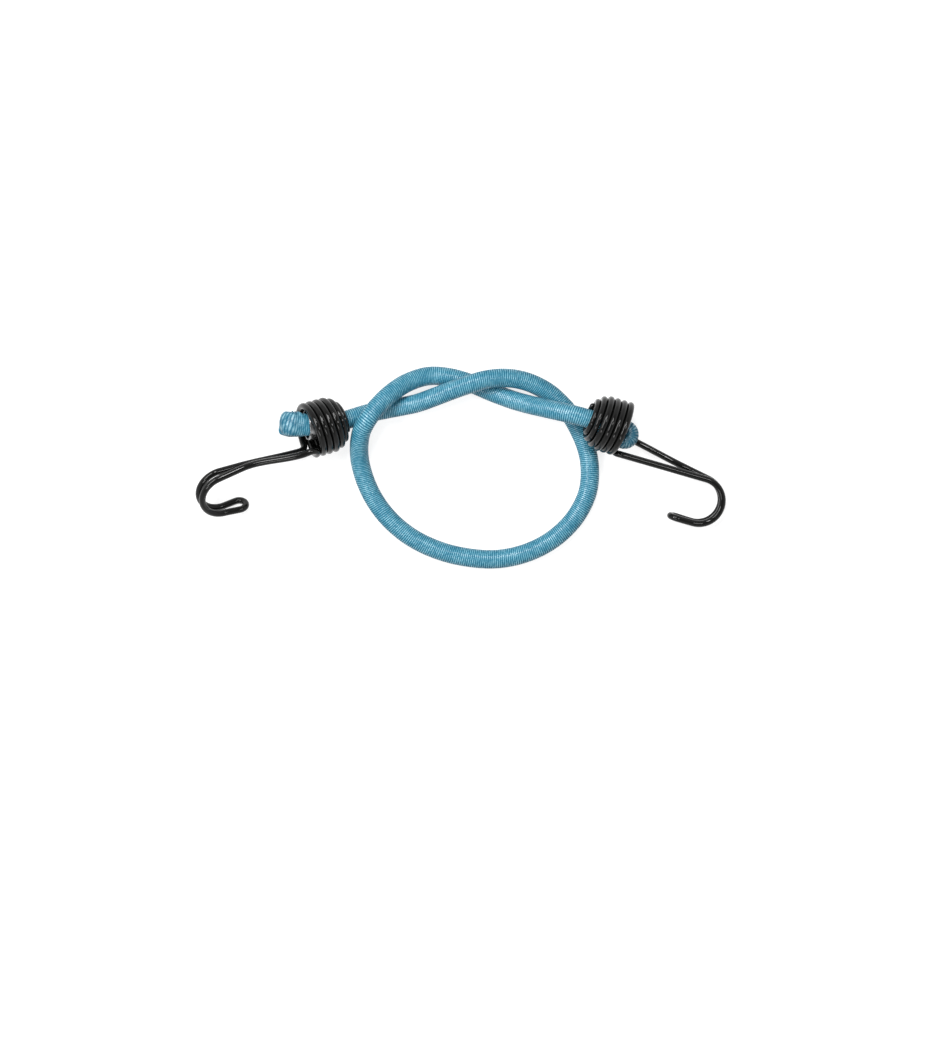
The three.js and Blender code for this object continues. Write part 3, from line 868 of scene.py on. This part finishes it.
# Matt floor that keeps shadows and is seen as white
def floor_material():
    even = {
        "Base Color": grey(FLOOR_TONE),
        "Roughness": 1.0,
        "Specular IOR Level": 0.0,
        "Emission Color": grey(1),
    }
    material, net, surface = new_material("white_floor", even)
    net.feed(surface["Emission Strength"], net.times(net.background_seen(), FLOOR_SEEN))
    return material


sleeve_look = sleeve_material()
rubber_look = rubber_material()
wire_look = wire_material()
crimp_look = crimp_material()
for side in spans:
    sleeves[side].data.materials.append(sleeve_look)
    cores[side].data.materials.append(rubber_look)
for side in hooks:
    hooks[side].data.materials.append(wire_look)
    crimps[side].data.materials.append(crimp_look)

# How the pieces ride on the bodies of the frame
strands = [name for name in frame["nodes"] if name.startswith("rubber_strand")]
left_entry = tuple(folded_end(LEFT_END)[0][0])
right_entry = tuple(folded_end(RIGHT_END)[0][0])
for piece in (sleeves["left"], cores["left"]):
    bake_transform(piece)
for piece in (sleeves["right"], cores["right"]):
    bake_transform(piece)
for piece in (sleeves["loop"], cores["loop"]):
    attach(piece, "cord")
for side in hooks:
    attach(hooks[side], f"{side}_hook_body")
    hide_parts(f"{side}_hook")
    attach(crimps[side], f"{side}_end")
    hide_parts(f"{side}_crimp")
for side in spans:
    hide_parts("braided_sleeve")
    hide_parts(*strands)

# Floor
bpy.ops.mesh.primitive_plane_add(size=FLOOR_SIZE, location=(0, 0, -FLOOR_DROP))
floor = bpy.context.object
floor.name = "floor"
floor.data.materials.append(floor_material())

# Surround: faint light from all round, seen as white below a dim ceiling
world = bpy.data.worlds.new("surround")
bpy.context.scene.world = world
world.use_nodes = True
background = world.node_tree.nodes["Background"]
background.inputs["Color"].default_value = (1, 1, 1, 1)
sky = Shading(world.node_tree)
sky_split = sky.nodes.new("ShaderNodeSeparateXYZ")
sky.links.new(sky.nodes.new("ShaderNodeTexCoord").outputs["Generated"], sky_split.inputs[0])
ceiling = sky.ramp(sky_split.outputs["Z"], [(0.45, grey(1)), (0.85, grey(0.3))])
sky_seen = sky.times(sky.background_seen(), ceiling)
sky.feed(background.inputs["Strength"], sky.times_plus(sky_seen, SURROUND_SEEN, SURROUND_LIGHT))

# Lights: a long one on the left, one on the far side and two weak ones to fill
for name, (spot, size, power) in LIGHTS.items():
    lamp = bpy.data.lights.new(name, "AREA")
    lamp.shape = "RECTANGLE"
    lamp.size, lamp.size_y = size
    lamp.energy = power
    light = bpy.data.objects.new(name, lamp)
    bpy.context.scene.collection.objects.link(light)
    light.location = spot
    light.rotation_mode = "QUATERNION"
    light.rotation_quaternion = (-Vector(spot)).to_track_quat("-Z", "Y")
    light.visible_camera = False

# Camera straight above
camera_data = bpy.data.cameras.new("camera")
camera = bpy.data.objects.new("camera", camera_data)
bpy.context.scene.collection.objects.link(camera)
camera.location = (VIEW_CENTRE[0], VIEW_CENTRE[1], VIEW_CENTRE[2] + VIEW_DISTANCE)
camera.rotation_euler = (0, 0, 0)
camera_data.sensor_width = SENSOR_WIDTH
camera_data.lens = SENSOR_WIDTH * VIEW_DISTANCE / VIEW_HEIGHT
bpy.context.scene.camera = camera
bpy.context.scene.view_settings.view_transform = "Standard"
